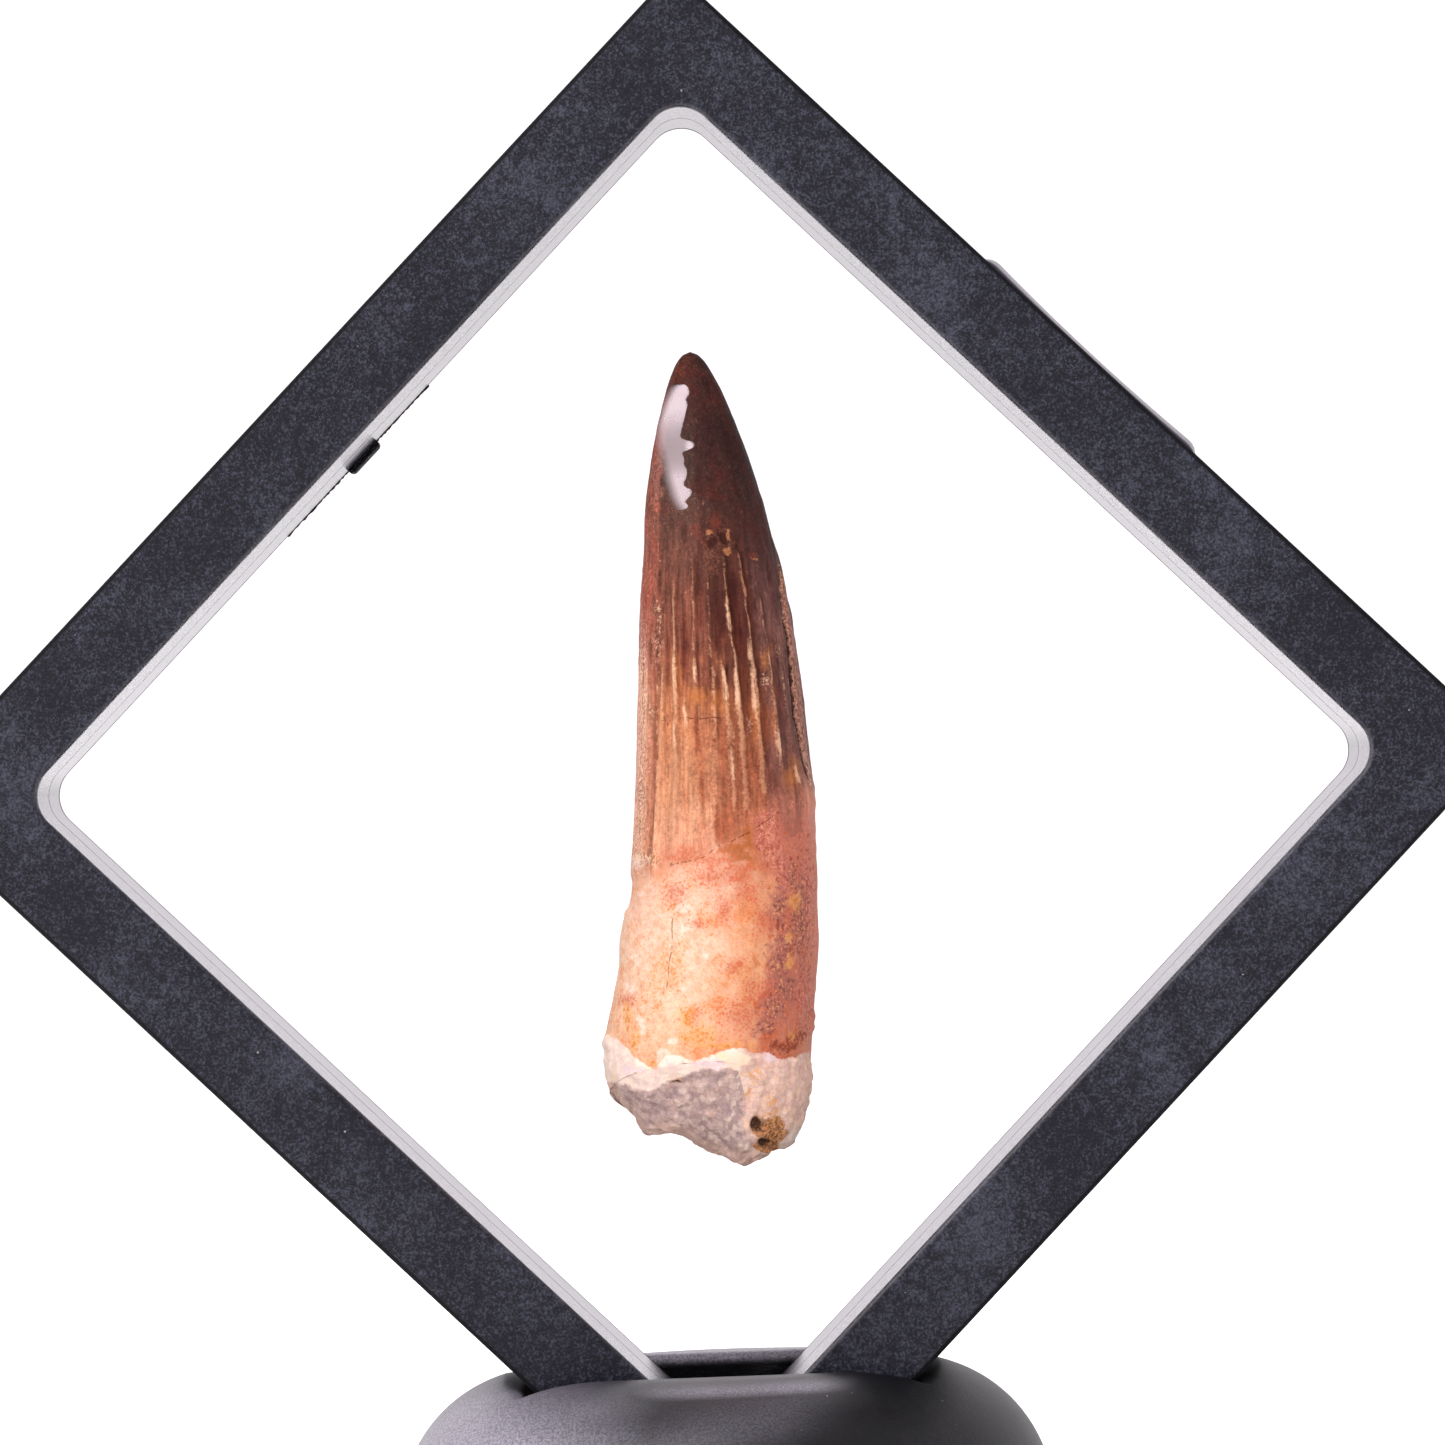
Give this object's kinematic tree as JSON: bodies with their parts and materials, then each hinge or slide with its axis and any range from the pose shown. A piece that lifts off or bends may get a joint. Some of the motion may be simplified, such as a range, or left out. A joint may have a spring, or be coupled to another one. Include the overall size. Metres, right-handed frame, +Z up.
{
  "type": "framed spinosaurus tooth on a stand",
  "caption": "Fossil spinosaurus tooth held between clear films in a square black frame that stands on its corner in a domed stand.",
  "frame": {"origin": "middle of the stand's flat underside", "axes": "+X to the right of the tooth, +Y from the front face to the back, +Z up towards the tooth's tip"},
  "size_m": [0.1252, 0.052, 0.1281],
  "materials": {
    "frame_plastic": "fine-grained matte black plastic",
    "stand_plastic": "sanded matte black plastic",
    "clear_film": "clear elastic film",
    "fossil": "glossy brown fluted enamel over a cream and orange root with a sandy broken end"
  },
  "bodies": {
    "root": {"front_frame_half": "frame_plastic", "rear_frame_half": "frame_plastic", "front_film": "clear_film", "rear_film": "clear_film", "tooth": "fossil", "display_stand": "stand_plastic"}
  },
  "joints": []
}
